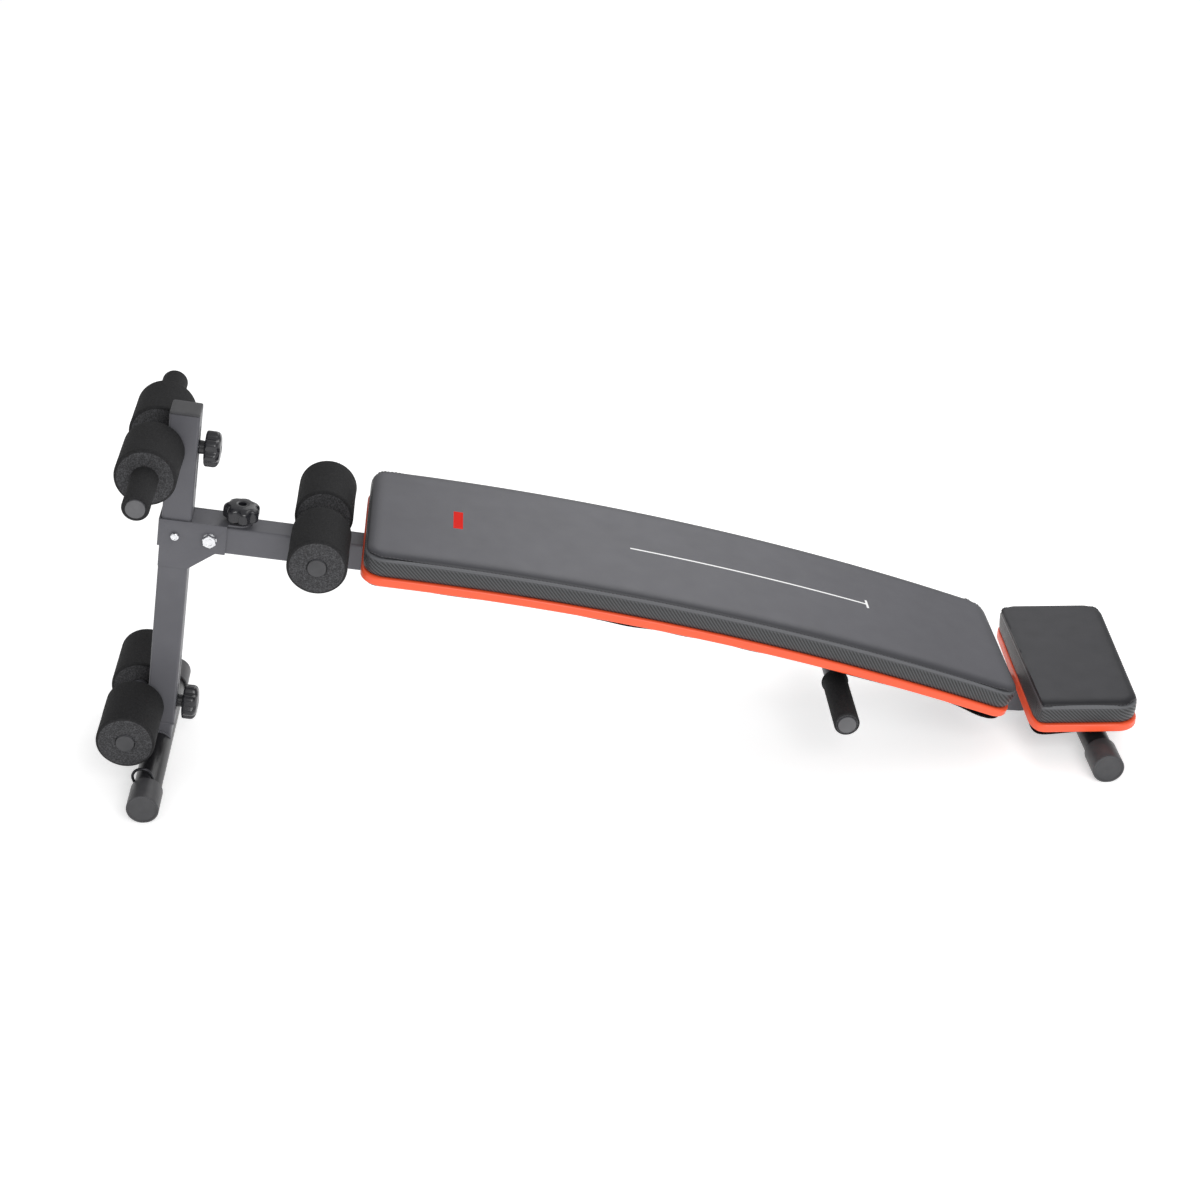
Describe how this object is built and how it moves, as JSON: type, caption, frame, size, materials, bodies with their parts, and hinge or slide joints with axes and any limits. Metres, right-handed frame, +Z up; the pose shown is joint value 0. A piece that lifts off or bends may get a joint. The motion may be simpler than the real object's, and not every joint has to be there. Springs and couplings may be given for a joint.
{
  "type": "decline sit-up bench",
  "caption": "Decline sit-up bench: long arched pad with a head pad on a sloping square rail, a folding front post with foot rollers, knee rollers and hand grips.",
  "frame": {"origin": "on the floor under the middle of the bench", "axes": "+X from the foot bars to the head pad, +Y across the bench, +Z up"},
  "size_m": [1.4543, 0.3976, 0.5392],
  "materials": {
    "powder_coat": "satin graphite powder coat",
    "grey_plastic": "moulded, fine texture",
    "black_plastic": "glossy moulding",
    "foam": "skinned closed-cell foam",
    "zinc_steel": "bright zinc plate",
    "dark_steel": "painted dark",
    "vinyl": "satin artificial leather over foam",
    "plywood": "sawn board"
  },
  "bodies": {
    "frame": {"main_rail": "powder_coat", "hinge_bush": "zinc_steel", "rail_end_cap": "grey_plastic", "rear_foot_tube": "powder_coat", "rear_foot_cap_near": "grey_plastic", "rear_foot_cap_far": "grey_plastic", "knee_bar": "powder_coat", "knee_plug_near": "grey_plastic", "knee_plug_far": "grey_plastic", "handle_bar": "powder_coat", "handle_grip_near": "foam", "handle_grip_far": "foam", "handle_plug_near": "grey_plastic", "handle_plug_far": "grey_plastic", "main_pad_board": "plywood", "main_pad_cushion": "vinyl", "head_pad_board": "plywood", "head_pad_cushion": "vinyl", "main_pad_front_bracket": "powder_coat", "main_pad_rear_bracket": "powder_coat", "head_pad_bracket": "powder_coat", "main_pad_front_screw_near": "zinc_steel", "main_pad_front_screw_far": "zinc_steel", "main_pad_rear_screw_near": "zinc_steel", "main_pad_rear_screw_far": "zinc_steel", "head_pad_screw_near": "zinc_steel", "head_pad_screw_far": "zinc_steel"},
    "front_stand": {"front_post": "powder_coat", "post_top_cap": "grey_plastic", "front_foot_tube": "powder_coat", "front_foot_cap_near": "grey_plastic", "front_foot_cap_far": "grey_plastic", "fold_bracket": "powder_coat", "hinge_bolt": "zinc_steel", "hinge_nut": "zinc_steel", "bracket_bolt": "zinc_steel", "bracket_nut": "zinc_steel", "cord_eye_near": "dark_steel", "cord_eye_far": "dark_steel"},
    "fold_lock": {"fold_knob": "black_plastic"},
    "upper_foot_bar": {"upper_bar": "powder_coat", "upper_saddle": "black_plastic", "upper_bolt": "zinc_steel", "upper_grip_near": "foam", "upper_grip_far": "foam", "upper_plug_near": "grey_plastic", "upper_plug_far": "grey_plastic"},
    "upper_clamp": {"upper_knob": "black_plastic"},
    "lower_foot_bar": {"lower_bar": "powder_coat", "lower_saddle": "black_plastic", "lower_bolt": "zinc_steel", "lower_plug_near": "grey_plastic", "lower_plug_far": "grey_plastic"},
    "lower_clamp": {"lower_knob": "black_plastic"},
    "upper_roller_near": {"upper_roller_near": "foam"},
    "upper_roller_far": {"upper_roller_far": "foam"},
    "lower_roller_near": {"lower_roller_near": "foam"},
    "lower_roller_far": {"lower_roller_far": "foam"},
    "knee_roller_near": {"knee_roller_near": "foam"},
    "knee_roller_far": {"knee_roller_far": "foam"}
  },
  "joints": [
    {"name": "fold", "type": "hinge", "parent": "frame", "child": "front_stand", "pos_m": [-0.55541, 0, 0.34878], "axis": [0, -1, 0], "range_deg": [0, 78]},
    {"name": "upper_bar_height", "type": "slide", "parent": "front_stand", "child": "upper_foot_bar", "axis": [0.1857, 0, 0.9826], "range_m": [-0.058, 0.025]},
    {"name": "lower_bar_height", "type": "slide", "parent": "front_stand", "child": "lower_foot_bar", "axis": [0.1857, 0, 0.9826], "range_m": [-0.009, 0.07]},
    {"name": "fold_knob_spin", "type": "hinge", "parent": "front_stand", "child": "fold_lock", "pos_m": [-0.51369, 0, 0.36491], "axis": [0.1857, 0, 0.9826], "continuous": true},
    {"name": "upper_knob_spin", "type": "hinge", "parent": "upper_foot_bar", "child": "upper_clamp", "pos_m": [-0.55741, 0, 0.47769], "axis": [0.9826, 0, -0.1857], "continuous": true},
    {"name": "lower_knob_spin", "type": "hinge", "parent": "lower_foot_bar", "child": "lower_clamp", "pos_m": [-0.63227, 0, 0.0815], "axis": [0.9826, 0, -0.1857], "continuous": true},
    {"name": "upper_near_roll", "type": "hinge", "parent": "upper_foot_bar", "child": "upper_roller_near", "pos_m": [-0.61243, -0.066, 0.48809], "axis": [0, 1, 0], "continuous": true},
    {"name": "upper_far_roll", "type": "hinge", "parent": "upper_foot_bar", "child": "upper_roller_far", "pos_m": [-0.61243, 0.066, 0.48809], "axis": [0, 1, 0], "continuous": true},
    {"name": "lower_near_roll", "type": "hinge", "parent": "lower_foot_bar", "child": "lower_roller_near", "pos_m": [-0.68729, -0.066, 0.0919], "axis": [0, 1, 0], "continuous": true},
    {"name": "lower_far_roll", "type": "hinge", "parent": "lower_foot_bar", "child": "lower_roller_far", "pos_m": [-0.68729, 0.066, 0.0919], "axis": [0, 1, 0], "continuous": true},
    {"name": "knee_near_roll", "type": "hinge", "parent": "frame", "child": "knee_roller_near", "pos_m": [-0.40389, -0.066, 0.35353], "axis": [0, 1, 0], "continuous": true},
    {"name": "knee_far_roll", "type": "hinge", "parent": "frame", "child": "knee_roller_far", "pos_m": [-0.40389, 0.066, 0.35353], "axis": [0, 1, 0], "continuous": true}
  ]
}
